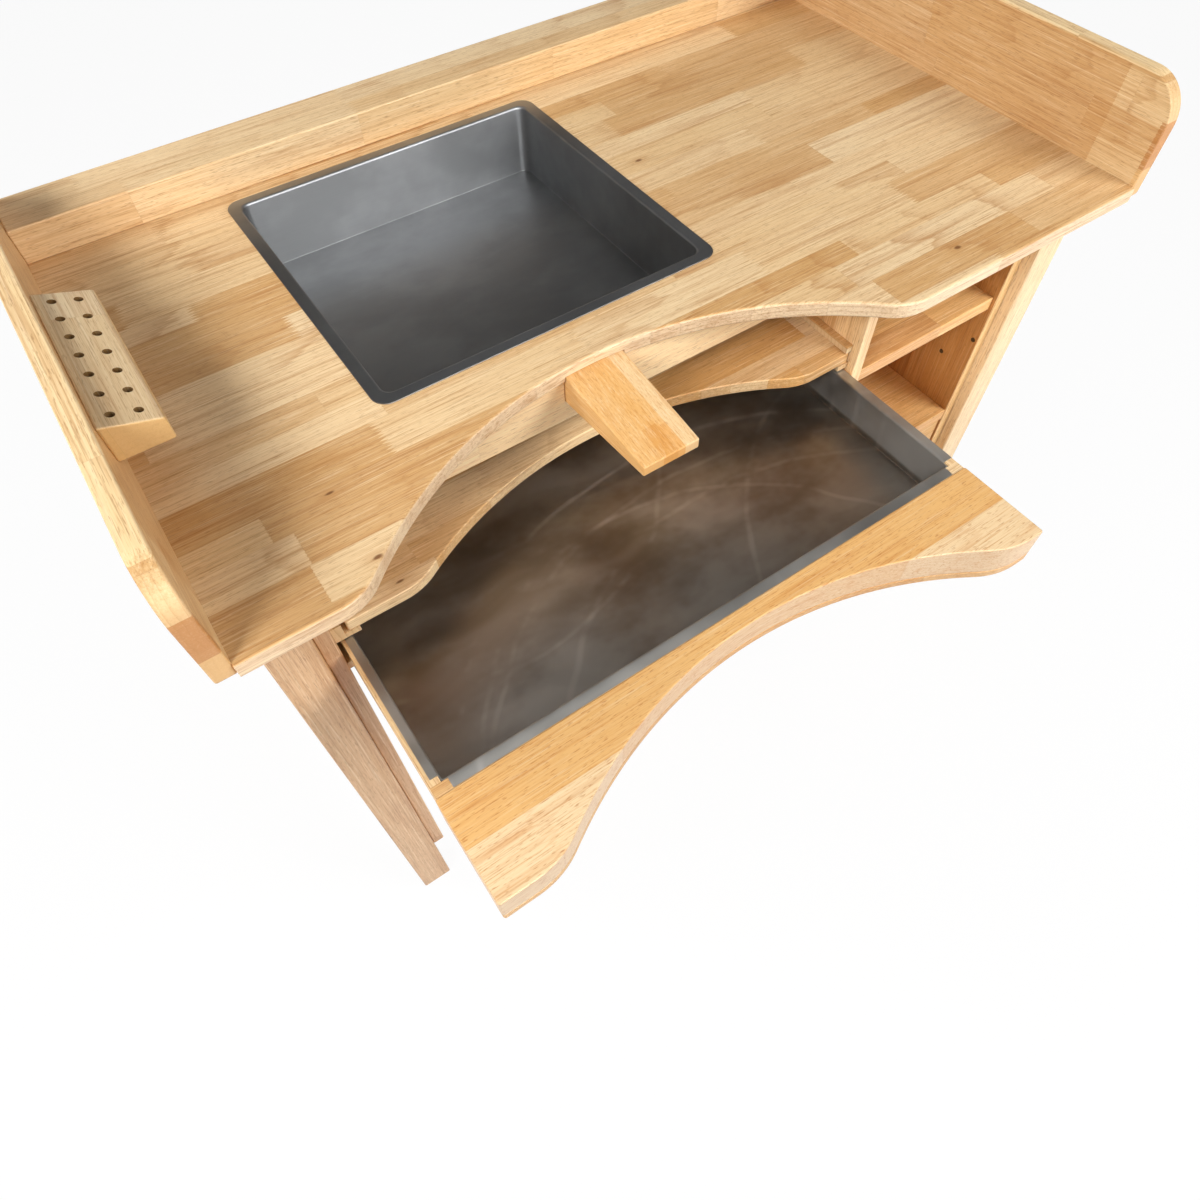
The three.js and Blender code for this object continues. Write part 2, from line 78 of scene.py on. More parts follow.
class Wire:
    # one output socket; sums and products of wires add Math nodes to the tree they are in

    def __init__(self, tree, socket=None):
        self.tree, self.socket = tree, socket

    def node(self, kind, settings, sockets, out=0):
        made = self.tree.nodes.new(kind)
        for key, value in settings.items():
            if key == "stops":
                fillRamp(made.color_ramp, *value)
            else:
                setattr(made, key, value)
        for key, value in sockets.items():
            if isinstance(value, Wire):
                self.tree.links.new(value.socket, made.inputs[key])
            else:
                made.inputs[key].default_value = value
        return Wire(self.tree, made.outputs[out])

    def other(self, out):
        return Wire(self.tree, self.socket.node.outputs[out])

    def math(self, operation, *values):
        return self.node("ShaderNodeMath", {"operation": operation}, dict(enumerate(values)))

    def __add__(self, value): return self.math("ADD", self, value)
    def __radd__(self, value): return self.math("ADD", value, self)
    def __sub__(self, value): return self.math("SUBTRACT", self, value)
    def __rsub__(self, value): return self.math("SUBTRACT", value, self)
    def __mul__(self, value): return self.math("MULTIPLY", self, value)
    def __rmul__(self, value): return self.math("MULTIPLY", value, self)
    def __truediv__(self, value): return self.math("DIVIDE", self, value)
    def __pow__(self, value): return self.math("POWER", self, value)
    def __gt__(self, value): return self.math("GREATER_THAN", self, value)
    def __lt__(self, value): return self.math("LESS_THAN", self, value)
    def __abs__(self): return self.math("ABSOLUTE", self)

    def floor(self): return self.math("FLOOR", self)
    def fraction(self): return self.math("FRACT", self)
    def root(self): return self.math("SQRT", self)
    def sine(self): return self.math("SINE", self)

    def fade(self, low, high):
        # 0 below low, 1 above high, smooth between
        return self.node("ShaderNodeMapRange", {"interpolation_type": "SMOOTHSTEP"},
                         {"Value": self, "From Min": low, "From Max": high})

    def ramp(self, stops, how="LINEAR"):
        return self.node("ShaderNodeValToRGB", {"stops": (stops, how)}, {"Fac": self})

    def blend(self, colour, other):
        # this wire is the share of the other colour
        return self.node("ShaderNodeMix", {"data_type": "RGBA", "clamp_result": True},
                         {0: self, 6: colour, 7: other}, 2)


def fillRamp(ramp, stops, how):
    ramp.interpolation = how
    while len(ramp.elements) < len(stops):
        ramp.elements.new(1.0)
    for element, (place, colour) in zip(ramp.elements, stops):
        element.position, element.color = place, colour


def joinXyz(x, y, z):
    wire = next(part for part in (x, y, z) if isinstance(part, Wire))
    return wire.node("ShaderNodeCombineXYZ", {}, {0: x, 1: y, 2: z})


def noise(x, y, z, detail=2.0, rough=0.5):
    place = joinXyz(x, y, z)
    return place.node("ShaderNodeTexNoise", {"noise_dimensions": "3D"},
                      {"Vector": place, "Scale": 1.0, "Detail": detail, "Roughness": rough})


def chance(x, y, z):
    # three random numbers that stay the same over one whole stave
    place = joinXyz(x, y, z)
    drawn = place.node("ShaderNodeTexWhiteNoise", {"noise_dimensions": "3D"}, {"Vector": place}, "Color")
    split = drawn.node("ShaderNodeSeparateColor", {}, {0: drawn})
    return split, split.other(1), split.other(2)


def newLook(name, constants):
    look = bpy.data.materials.new(name)
    look.use_nodes = True
    tree = look.node_tree
    shader = tree.nodes["Principled BSDF"]
    for socket, value in constants.items():
        shader.inputs[socket].default_value = value
    start = Wire(tree)
    start.shader = shader
    return look, start


def millimetres(start, shift):
    place = start.node("ShaderNodeTexCoord", {}, {}, "Object")
    moved = start.node("ShaderNodeMapping", {}, {"Vector": place, "Location": shift, "Scale": (1000,) * 3})
    split = start.node("ShaderNodeSeparateXYZ", {}, {0: moved})
    return {"x": split, "y": split.other(1), "z": split.other(2)}


def feed(start, **sockets):
    for name, wire in sockets.items():
        start.tree.links.new(wire.socket, start.shader.inputs[name.replace("_", " ")])


def addBump(start, height, strength, distance):
    bump = start.node("ShaderNodeBump", {}, {"Height": height, "Strength": strength, "Distance": distance})
    feed(start, Normal=bump)


# Glued-up rubberwood: staves side by side, each of its own tone and with its own growth rings,
# joined end to end by fingers. Grain runs along one axis, staves lie side by side along another.

paleTones = shades((237, 213, 173), (224, 189, 139), (233, 203, 158), (204, 159, 103), (219, 181, 132))
warmTones = shades((222, 178, 118), (211, 162, 100), (198, 144, 84), (216, 172, 116), (186, 130, 76))
greyTones = shades((208, 165, 121), (199, 154, 109), (214, 173, 130), (190, 144, 98))
# darker tones that stand for shade: painted shade on the right-hand side panel
paintedShadeTones = shades((204, 146, 84), (192, 132, 70), (210, 156, 96))
creamTones = shades((246, 222, 182), (240, 209, 163), (244, 217, 173))
streakPale, knotBrown = shades((250, 230, 192), (112, 66, 32))

woodDefaults = {
    "grain": "x", "across": "y", "shift": (0, 0, 0), "seed": 0.0, "tones": paleTones, "tint": 1.0,
    "staveWidth": 41.0, "staveLength": 340.0, "fingerPitch": 4.6, "fingerLength": 8.0,
    "ringSpacing": 6.5, "ringDepth": 0.6, "lateColour": srgb(174, 116, 58),
    "streak": 0.52, "pale": 0.4, "fibre": 0.38,
    "pore": 0.42, "poreSize": 1.1, "poreDraw": 0.09, "poreColour": srgb(140, 84, 36),
    "knots": 0.0, "endShade": 0.16, "bump": 0.16, "roughness": 0.42, "coat": 0.12,
    # strips: near side and tone of each; inlays: along, side, colour and share
    "strips": (), "inlays": (),
    # colour and share on upright faces
    "edge": (srgb(240, 212, 174), 0.0),
}
staves = {"waveHeight": 0.13, "waveStep": 2.3, "shortest": 0.65, "spread": 0.7, "rowShift": 19.0,
          "butted": 0.55, "seam": 0.7, "endSeam": 1.1, "seamShade": 0.12}
rings = {"pithSide": 70.0, "pithDepth": 150.0, "lean": 0.16, "swaySide": 7.0, "swayDepth": 6.0,
         "wobble": 0.25, "sharpness": 6.0, "lastPart": 0.94, "faintest": 0.12, "pithBlur": (6.0, 30.0)}
knotForm = {"halfWidth": 2.6, "halfLength": 6.5, "sway": 3.0, "darkness": 0.85,
            "haloReach": 3.6, "haloShade": 0.3}
# noises drawn out along the grain: steps per millimetre along it and across it, detail, roughness,
# and how far a stave's own tone shifts them
woodNoises = {
    "sway": (0.006, 0.035, 2.0, 0.5, 0.0), "wobble": (0.006, 0.06, 2.0, 0.5, 0.0),
    "broad": (0.004, 0.11, 2.0, 0.6, 9.0), "streak": (0.009, 0.5, 3.0, 0.75, 50.0),
    "fibre": (0.014, 0.95, 2.0, 0.7, 70.0), "patch": (0.004, 0.02, 2.0, 0.5, 30.0),
}


def woodLook(name, **changes):
    s = {**woodDefaults, **changes}
    look, start = newLook(name, {"Coat Weight": s["coat"], "Coat Roughness": 0.28, "IOR": 1.48})
    axes = millimetres(start, s["shift"])
    along, side = axes[s["grain"]], axes[s["across"]]
    depth = axes[next(axis for axis in "xyz" if axis not in (s["grain"], s["across"]))]

    # rows of uneven width, each shifted along by its own amount
    wave = (side * (staves["waveStep"] / s["staveWidth"])).sine()
    rowPlace = side / s["staveWidth"] + staves["waveHeight"] * wave
    row = rowPlace.floor()
    rowShift, rowLength, rowTilt = chance(row, s["seed"] + 0.37, 0.5)
    length = s["staveLength"] * (staves["shortest"] + staves["spread"] * rowLength)
    fingerLength = (rowTilt > staves["butted"]) * s["fingerLength"] + 1.0
    finger = abs((side / s["fingerPitch"]).fraction() - 0.5) * fingerLength * 2.0
    stavePlace = (along + finger) / length + rowShift * staves["rowShift"]
    stave = stavePlace.floor()
    tone, ringShift, ringSkew = chance(row, stave, s["seed"])
    fromMiddle = (stavePlace - stave - 0.5) * length
    fromCentre = (rowPlace - row - 0.5) * s["staveWidth"]

    def drawnOut(kind):
        run, width, detail, rough, ownShift = woodNoises[kind]
        place = along * run + tone * ownShift if ownShift else along * run
        return noise(place, side * width, depth * width, detail, rough)

    # growth rings round a pith that lies near the stave and leans to its length
    sway = drawnOut("sway") - 0.5
    lean = fromMiddle * (rowTilt - 0.5) * rings["lean"]
    offSide = fromCentre - (ringSkew - 0.5) * rings["pithSide"] + sway * rings["swaySide"]
    offDepth = depth + (ringShift - 0.5) * rings["pithDepth"] + lean + sway * rings["swayDepth"]
    fromPith = (offSide * offSide + offDepth * offDepth).root()
    ring = (fromPith / s["ringSpacing"] + drawnOut("wobble") * rings["wobble"]).fraction()
    late = ring ** rings["sharpness"] * (1.0 - ring.fade(rings["lastPart"], 1.0))
    late = late * (ringSkew.fade(0.2, 0.95) + rings["faintest"]) * fromPith.fade(*rings["pithBlur"])

    # end grain shows fewer lines than a long face
    facing = start.node("ShaderNodeTexCoord", {}, {}, "Normal")
    facing = start.node("ShaderNodeSeparateXYZ", {}, {0: facing})
    endGrain = abs(facing.other("XYZ".index(s["grain"].upper()))) ** 2.0
    lines = 1.0 - endGrain * 0.75

    # broad and fine streaks, dark fibres and open pores, all drawn out along the grain
    broad, streak, fibre, patch = [drawnOut(kind) for kind in ("broad", "streak", "fibre", "patch")]
    pore = noise(along * s["poreDraw"] + 3.7, side * s["poreSize"], depth * s["poreSize"], 1.0)
    pore = pore.fade(0.58, 0.74)

    stops = list(zip(np.linspace(0, 1, len(s["tones"])), s["tones"]))
    shade = (tone * 0.82 + patch * 0.18).ramp(stops)
    if s["strips"]:
        nearSides = [place for place, colour in s["strips"]]
        width = nearSides[-1] * 2 - nearSides[0]
        stops = [((place - nearSides[0]) / width, colour) for place, colour in s["strips"]]
        shade = ((side - nearSides[0]) / width).ramp(stops, "CONSTANT")
    for (near, far), (low, high), colour, share in s["inlays"]:
        inside = (along + finger > near) * (along + finger < far) * (side > low) * (side < high)
        shade = (inside * share).blend(shade, colour)
    # upright faces blend towards the edge colour; on the work top this is painted light on its lit edges
    edgeColour, edgeShare = s["edge"]
    shade = ((1.0 - abs(facing.other(2)).fade(0.3, 0.8)) * edgeShare).blend(shade, edgeColour)
    colour = (late * s["ringDepth"]).blend(shade, s["lateColour"])
    colour = (broad.fade(0.5, 0.72) * lines * s["streak"] * 0.7).blend(colour, s["lateColour"])
    colour = (streak.fade(0.52, 0.7) * lines * s["streak"]).blend(colour, s["lateColour"])
    colour = (streak.fade(0.5, 0.3) * lines * s["pale"]).blend(colour, streakPale)
    colour = (fibre.fade(0.56, 0.7) * lines * s["fibre"]).blend(colour, s["poreColour"])
    colour = (pore * lines * s["pore"]).blend(colour, s["poreColour"])

    # thin lines where staves meet, and end grain that drinks more of the lacquer
    seam = abs(fromCentre).fade(s["staveWidth"] * 0.5 - staves["seam"], s["staveWidth"] * 0.5)
    endSeam = abs(fromMiddle).fade(length * 0.5 - staves["endSeam"], length * 0.5)
    colour = ((seam + endSeam * 0.7) * staves["seamShade"]).blend(colour, s["poreColour"])
    colour = (endGrain * s["endShade"]).blend(colour, s["lateColour"])

    if s["knots"]:
        knotChance, knotSide, knotEnd = chance(stave, row, s["seed"] + 7.7)
        across = fromCentre - (knotSide - 0.5) * s["staveWidth"] * 0.6 + sway * knotForm["sway"]
        across = across / knotForm["halfWidth"]
        ahead = (fromMiddle - (knotEnd - 0.5) * length * 0.7) / knotForm["halfLength"]
        near = (across * across + ahead * ahead).root()
        knot = (1.0 - near.fade(0.35, 1.0)) * (knotChance < s["knots"])
        halo = (1.0 - near.fade(0.6, knotForm["haloReach"])) * (knotChance < s["knots"])
        colour = (halo * knotForm["haloShade"]).blend(colour, s["lateColour"])
        colour = (knot * knotForm["darkness"]).blend(colour, knotBrown)

    colour = colour.node("ShaderNodeVectorMath", {"operation": "SCALE"}, {0: colour, "Scale": s["tint"]})
    feed(start, Base_Color=colour, Roughness=s["roughness"] + fibre * 0.10 - 0.05 + pore * 0.12)
    addBump(start, fibre * 0.5 - pore * 0.9 - seam * 0.5, s["bump"], 0.0006)
    return look


plySheet = {"staveWidth": 700, "staveLength": 3000, "tones": shades((221, 184, 134), (211, 172, 122)),
            "ringSpacing": 22, "ringDepth": 0.4, "roughness": 0.55, "coat": 0.0}
woods = {
    "top": woodLook("topWood", shift=(57, 12, 0), seed=2.0, knots=0.08, streak=0.62,
                    # all upright faces of the top painted paler: painted light where the front lamps fall on
                    # its front edge
                    edge=(srgb(246, 222, 190), 0.62)),
    "upstand": woodLook("upstandWood", grain="y", across="z", shift=(0, 231.5, 8), seed=5.0, staveWidth=44,
                        # the first inlay is painted shade: a darker share over the upstand's faces back from
                        # its nose and below its top edge
                        inlays=[((75, 720), (860, 1012), srgb(200, 150, 94), 0.6),
                                ((-20, 10), (918, 973), srgb(190, 130, 74), 0.85),
                                ((-20, 10), (860, 918), srgb(224, 178, 116), 0.7),
                                ((-20, 720), (1012, 1030), srgb(242, 214, 164), 0.8)]),
    "ledge": woodLook("ledgeWood", shift=(120, 3, 0), seed=8.0, staveWidth=37),
    "block": woodLook("blockWood", grain="y", across="x", shift=(9, 900, 0), seed=11.0, tones=paleTones[:3],
                      tint=0.86, staveWidth=70, staveLength=1500, pore=0.4, endShade=0.05,
                      edge=(srgb(236, 188, 112), 0.6)),
    "pin": woodLook("pinWood", grain="y", across="x", shift=(130, 231.5, 0), seed=14.0, tint=0.92,
                    strips=[(-40, srgb(238, 188, 122)), (-10, srgb(236, 182, 112)), (8, srgb(238, 187, 120)),
                            (17, srgb(242, 206, 154))],
                    inlays=[((-20, 40), (-10, 8), srgb(224, 160, 86), 0.7),
                            ((-20, 36), (8, 17), srgb(234, 174, 104), 0.7)],
                    staveWidth=500, staveLength=3000, lateColour=srgb(206, 130, 50),
                    poreColour=srgb(190, 116, 48), ringSpacing=4.0, ringDepth=0.5, fibre=0.3, streak=0.5),
    "armrest": woodLook("armrestWood", shift=(0, 421.5, 0), seed=17.0, staveWidth=58, tint=0.82,
                        strips=[(-300, srgb(250, 219, 172)), (0, srgb(240, 190, 122))],
                        staveLength=1700, lateColour=srgb(208, 134, 60), poreColour=srgb(184, 108, 42),
                        pore=0.6, poreSize=0.75, poreDraw=0.1, streak=0.5, fibre=0.4, ringDepth=0.3,
                        ringSpacing=5.0, edge=(srgb(232, 200, 164), 0.6)),
    "base": woodLook("armrestBaseWood", shift=(0, 70, 0), seed=20.0, tones=warmTones, staveLength=800),
    "leg": woodLook("legWood", grain="z", across="x", shift=(2.5, 0, 0), seed=23.0, tones=greyTones,
                    tint=0.93, staveWidth=48, staveLength=2000, lateColour=srgb(160, 112, 74),
                    poreColour=srgb(132, 88, 58)),
    "paleLeg": woodLook("paleLegWood", grain="z", across="x", shift=(2.5, 0, 0), seed=24.0, tones=creamTones,
                        staveWidth=24, staveLength=1400, lateColour=srgb(214, 164, 106), knots=0.3),
    "panel": woodLook("panelWood", grain="z", across="y", shift=(0, 17, 0), seed=26.0, tones=greyTones,
                      staveLength=420),
    # the right-hand side panel in darker tones: painted shade for its shaded inside
    "deepPanel": woodLook("paintedShadePanelWood", grain="z", across="y", shift=(0, 17, 0), seed=26.0,
                          tones=paintedShadeTones, staveLength=420, knots=0.12, lateColour=srgb(150, 88, 34),
                          poreColour=srgb(130, 78, 34), pale=0.15,
                          # a pale band over the panel's front edge: painted light where the lamps fall on it
                          inlays=[((-20, 900), (-160, -154.3), srgb(238, 198, 138), 0.9)]),
    "divider": woodLook("dividerWood", grain="z", across="y", shift=(0, 5, 30), seed=29.0, staveLength=420,
                        tint=1.3),
    "shelf": woodLook("shelfWood", shift=(30, 20, 0), seed=32.0, tones=paleTones + warmTones[1:3], knots=0.15,
                      tint=1.12),
    "rail": woodLook("railWood", across="z", shift=(200, 0, 9), seed=35.0, staveWidth=60, staveLength=600),
    "paleRail": woodLook("paleRailWood", across="z", shift=(200, 0, 9), seed=36.0, tones=creamTones,
                         staveWidth=80, staveLength=600, lateColour=srgb(226, 184, 134), ringDepth=0.4,
                         tint=1.16),
    "cabinet": woodLook("cabinetWood", shift=(80, 9, 0), seed=38.0, tones=warmTones, staveLength=300,
                        tint=1.18),
    "drawer": woodLook("drawerWood", grain="y", across="z", shift=(0, 0, 11), seed=41.0, staveWidth=60,
                       staveLength=900),
    "front": woodLook("frontWood", across="z", shift=(90, 0, 20), seed=44.0, tones=warmTones,
                      staveLength=300),
    "ply": woodLook("plyWood", grain="y", across="x", seed=47.0, **plySheet),
    "backPly": woodLook("backPlyWood", grain="z", across="x", seed=48.0, **plySheet),
    # a much darker wood for the walls of drilled holes: painted shade
    "holes": woodLook("paintedHoleShade", grain="z", across="x", seed=50.0, tint=0.3, tones=warmTones, coat=0.0,
                      roughness=0.8),
}
print("woods:", len(woods))


# sheet steel: brushed, clouded, and dulled by a thin film where it was wiped

steelLooks = {
    "pan": {"colour": srgb(160, 161, 162), "dark": srgb(144, 145, 146), "smear": srgb(176, 177, 178),
            "smearShare": 0.12, "film": 0.12, "uneven": 0.04, "roughness": 0.52, "brush": 0.10,
            "shift": (0, 0, 0), "arcs": (), "walls": None},
    "tray": {"colour": srgb(166, 161, 154), "dark": srgb(134, 126, 117), "smear": srgb(194, 186, 178),
             "smearShare": 0.32, "film": 0.24, "uneven": 0.08, "roughness": 0.40, "brush": 0.14,
             "shift": (0, 231.5, 0),
             # centre, radius and share of each mark that the wiping left
             "arcs": [(-60, -330, 470, 0.4), (-40, -420, 505, 0.35), (-150, -260, 330, 0.35),
                      (-20, -380, 420, 0.3), (-330, 300, 330, 0.3), (330, -260, 420, 0.3)],
             # walls and rims painted lighter and duller than the floor above a height, painted light: node,
             # height above its underside, colour and dullness
             "walls": ("catch_drawer_liner", 6, srgb(180, 179, 175), 0.30)},
}
steelMarks = {"arcReach": 5.0, "arcCore": 0.6, "arcBend": 60.0, "evenFilm": 0.3,
              "wallFade": 6.0, "wallShare": 0.7}


def steelLook(name, s):
    look, start = newLook(name, {"IOR": 2.2})
    axes = millimetres(start, s["shift"])
    x, y, z = axes["x"], axes["y"], axes["z"]
    cloud = noise(x * 0.006, y * 0.008, z * 0.008, 4.0, 0.6)
    bend = noise(x * 0.004, y * 0.004, z * 0.004, 2.0) - 0.5
    wipe = noise(x * 0.003 + y * 0.012 + bend * 2.6, y * 0.004 - x * 0.002, z * 0.01, 3.0, 0.55)
    brush = noise(x * 0.015, y * 1.1, z * 1.1, 2.0)
    colour = cloud.fade(0.38, 0.64).blend(s["dark"], s["colour"])
    film = wipe.fade(0.46, 0.66) * s["smearShare"]
    for centreX, centreY, radius, share in s["arcs"]:
        offX, offY = x - centreX, y - centreY
        reach = abs((offX * offX + offY * offY).root() - radius + bend * steelMarks["arcBend"])
        film = film + reach.fade(steelMarks["arcReach"], steelMarks["arcCore"]) * cloud.fade(0.4, 0.6) * share
    colour, dull = film.blend(colour, s["smear"]), s["film"] * (film + steelMarks["evenFilm"])
    # walls and rims, above a height over the floor, painted lighter and duller: painted light
    if s["walls"]:
        node, height, paintedWallLight, wallDull = s["walls"]
        wallFoot = nodeSpans(node)[2][0] + height
        raised = z.fade(wallFoot, wallFoot + steelMarks["wallFade"])
        colour = (raised * steelMarks["wallShare"]).blend(colour, paintedWallLight)
        dull = dull + raised * cloud.fade(0.3, 0.7) * wallDull
    feed(start, Base_Color=colour, Metallic=1.0 - dull,
         Roughness=s["roughness"] + (cloud - 0.5) * s["uneven"] + (brush - 0.5) * s["brush"] - wipe * 0.05)
    addBump(start, brush, 0.06, 0.0004)
    return look


steels = {key: steelLook(key + "Steel", s) for key, s in steelLooks.items()}
print("steels:", len(steels))


# surfaces

sharpOver = 38.0    # degrees between two faces
cornerShare = 1.4    # of an edge's ease


def roundedOutline(aSpan, bSpan, radius, steps=5):
    # four quarter circles about the corners' centres, counter-clockwise
    angle = (np.arange(4)[:, None] * np.pi / 2 - np.pi / 2 + np.linspace(0, np.pi / 2, steps + 1)).ravel()
    a, b = np.array(aSpan) + (radius, -radius), np.array(bSpan) + (radius, -radius)
    centre = np.repeat([[a[1], b[0]], [a[1], b[1]], [a[0], b[1]], [a[0], b[0]]], steps + 1, axis=0)
    return centre + radius * np.column_stack([np.cos(angle), np.sin(angle)])


def softCorner(start, corner, end, steps=12):
    # a parabola that touches both edges: (1-t)^2 start + 2t(1-t) corner + t^2 end
    t = np.linspace(0, 1, steps + 1)[:, None]
    return (1 - t) ** 2 * np.array(start) + 2 * t * (1 - t) * np.array(corner) + t ** 2 * np.array(end)


def softened(corners, ease):
    # an outline of straight sides whose corners are a little rounder than its eased edges
    run = cornerShare * ease
    ahead, behind = np.roll(corners, -1, axis=0) - corners, np.roll(corners, 1, axis=0) - corners
    ahead *= run / np.linalg.norm(ahead, axis=1, keepdims=True)
    behind *= run / np.linalg.norm(behind, axis=1, keepdims=True)
    return np.concatenate([softCorner(c + b, c, c + a, 6) for c, a, b in zip(corners, ahead, behind)])


def scoopedFront(front, margin, depth, cornerRun, step=7.0):
    # a straight edge scooped out by an arc: radius (half chord^2 + depth^2) / (2 depth), soft where they meet
    halfChord = layout["bayHalfWidth"] - margin
    radius = (halfChord ** 2 + depth ** 2) / (2 * depth)
    centre = np.array([layout["scoopCentre"], front + depth - radius])
    reach = np.arcsin(halfChord / radius) - cornerRun / radius
    turn = np.linspace(-reach, reach, int(2 * reach * radius / step))
    arc = centre + radius * np.column_stack([np.sin(turn), np.cos(turn)])
    left, right = (layout["scoopCentre"] - halfChord, front), (layout["scoopCentre"] + halfChord, front)
    return np.concatenate([
        softCorner((left[0] - cornerRun, front), left, arc[0])[:-1], arc,
        softCorner(arc[-1], right, (right[0] + cornerRun, front))[1:]])


def scoopedOutline(xSpan, front, back, corner, **scoop):
    # the scooped front edge, and three sides with rounded corners
    return np.concatenate([scoopedFront(front, **scoop), roundedOutline(xSpan, (front, back), corner)])


def inwardMiters(outline):
    # the step that draws a corner in so that both of its edges move in by one
    edge = np.roll(outline, -1, axis=0) - outline
    edge /= np.linalg.norm(edge, axis=1, keepdims=True)
    normal = np.column_stack([-edge[:, 1], edge[:, 0]])
    before = np.roll(normal, 1, axis=0)
    return (normal + before) / (1 + (normal * before).sum(axis=1, keepdims=True))


def easedRings(outline, span, ease, miters=None, steps=4):
    # quarter-round edges: drawn in by ease (1 - sin t) where it has risen by ease (1 - cos t)
    t = np.linspace(0, np.pi / 2, steps + 1)
    inset = ease * (1 - np.sin(t))
    rise = ease * (1 - np.cos(t))
    inset = np.concatenate([inset, inset[::-1]])[:, None, None]
    height = np.concatenate([span[0] + rise, span[1] - rise[::-1]])[:, None, None]
    plan = outline + inset * (inwardMiters(outline) if miters is None else miters)
    return np.concatenate([plan, np.broadcast_to(height, plan.shape[:2] + (1,))], axis=2)


def atHeight(outline, height):
    return np.column_stack([outline, np.full(len(outline), height)])


def carriedAlong(rings, axis):
    # outlines lie in X-Y for z, in Y-Z for x and in Z-X for y
    return np.roll(rings, {"z": 0, "x": 1, "y": 2}[axis], axis=2)


def loft(rings):
    # walls from each ring to the next, closed by the first and the last ring
    count, size = rings.shape[:2]
    index = np.arange(count * size).reshape(count, size)
    ahead = np.roll(index, -1, axis=1)
    walls = np.stack([index[:-1], ahead[:-1], ahead[1:], index[1:]], axis=-1).reshape(-1, 4)
    return rings.reshape(-1, 3), walls.tolist() + [index[0, ::-1].tolist(), index[-1].tolist()]


def gathered(*shapes):
    # several shapes as one mesh
    starts = np.cumsum([0] + [len(points) for points, faces in shapes])
    faces = [[corner + start for corner in face] for start, shape in zip(starts, shapes) for face in shape[1]]
    return np.concatenate([points for points, faces in shapes]), faces


def newObject(name, shape):
    points, faces = shape
    mesh = bpy.data.meshes.new(name)
    mesh.from_pydata(toMetres(points).tolist(), [], faces)
    mesh.update()
    thing = bpy.data.objects.new(name, mesh)
    bpy.context.scene.collection.objects.link(thing)
    return thing


def carve(piece, *shapes):
    # takes shapes out of a piece
    cutters = [newObject("cutter", shape) for shape in shapes]
    for cutter in cutters:
        cut = piece.modifiers.new("cut", "BOOLEAN")
        cut.operation, cut.solver, cut.object = "DIFFERENCE", "EXACT", cutter
    bpy.context.view_layer.update()
    whole = piece.evaluated_get(bpy.context.evaluated_depsgraph_get())
    carved = bpy.data.meshes.new_from_object(whole)
    piece.modifiers.clear()
    piece.data = carved
    for cutter in cutters:
        bpy.data.objects.remove(cutter)


def settle(piece, look, slot, *nodes):
    # finish, body and the nodes that the piece stands for; smooth but for sharp edges, flat faces kept even
    piece.data.shade_smooth()
    piece.data.set_sharp_from_angle(angle=np.radians(sharpOver))
    piece.modifiers.new("evenFaces", "WEIGHTED_NORMAL").keep_sharp = True
    piece.data.materials.clear()
    piece.data.materials.append(look)
    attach(piece, nodeBody[nodes[0]])
    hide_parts(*nodes)


def drill(axis, centre, span, radius, sides=28):
    turn = np.linspace(0, 2 * np.pi, sides, endpoint=False)
    circle = np.array(centre) + radius * np.column_stack([np.cos(turn), np.sin(turn)])
    return loft(carriedAlong(np.stack([atHeight(circle, height) for height in span]), axis))


def darkenHoles(piece, axis, centres, radius):
    # the walls of drilled holes get painted shade, a much darker wood: their faces' middles lie within a hole's
    # radius
    middles = np.empty(len(piece.data.polygons) * 3)
    piece.data.polygons.foreach_get("center", middles)
    plane = np.delete(toMillimetres(middles.reshape(-1, 3)), "xyz".index(axis), axis=1)
    reach = np.linalg.norm(plane[:, None] - np.array(centres)[None], axis=2).min(axis=1)
    normals = np.empty(len(middles))
    piece.data.polygons.foreach_get("normal", normals)
    upright = np.abs(normals.reshape(-1, 3)[:, "xyz".index(axis)]) < 0.1
    piece.data.materials.append(woods["holes"])
    piece.data.polygons.foreach_set("material_index", (upright & (reach < radius + 0.1)).astype(np.int32))


# work top: the front edge and the cut-out are rounded over, the ends and the back are square

workTop = {"ease": 3.2, "margin": 27, "depth": 138, "cornerRun": 26,
           "panHole": ((-339.5, 70.5), (206.5, 604.5)), "panHoleRadius": 12, "panHoleSpan": (800, 950),
           "notch": ((-168, -92), (-10, 161)), "notchSpan": (850, 878), "notchRadius": 1.0, "notchEase": 0.5}


def makeWorkTop(s):
    (left, right), (front, back), (low, high) = nodeSpans("bench_top")
    edge = scoopedFront(front, s["margin"], s["depth"], s["cornerRun"])
    outline = np.concatenate([[[left, front]], edge, [[right, front], [right, back], [left, back]]])
    # the corners at the ends keep their X, and those at the back stay where they are
    miters = inwardMiters(outline)
    miters[[0, -3]] = (0, 1)
    miters[-2:] = 0
    piece = newObject("workTop", loft(easedRings(outline, (low, high), s["ease"], miters, 6)))
    hole = roundedOutline(*s["panHole"], s["panHoleRadius"], 8)
    well = np.stack([atHeight(hole, height) for height in s["panHoleSpan"]])
    notch = roundedOutline(*s["notch"], s["notchRadius"], 2)
    carve(piece, loft(well), loft(easedRings(notch, s["notchSpan"], s["notchEase"], steps=1)))
    settle(piece, woods["top"], "top_wood", "bench_top")


makeWorkTop(workTop)


# upstands: boards on edge whose front top corner is a wide quarter circle

upstand = {"nose": 50, "toe": 8, "back": 2.5, "ease": 2.2}


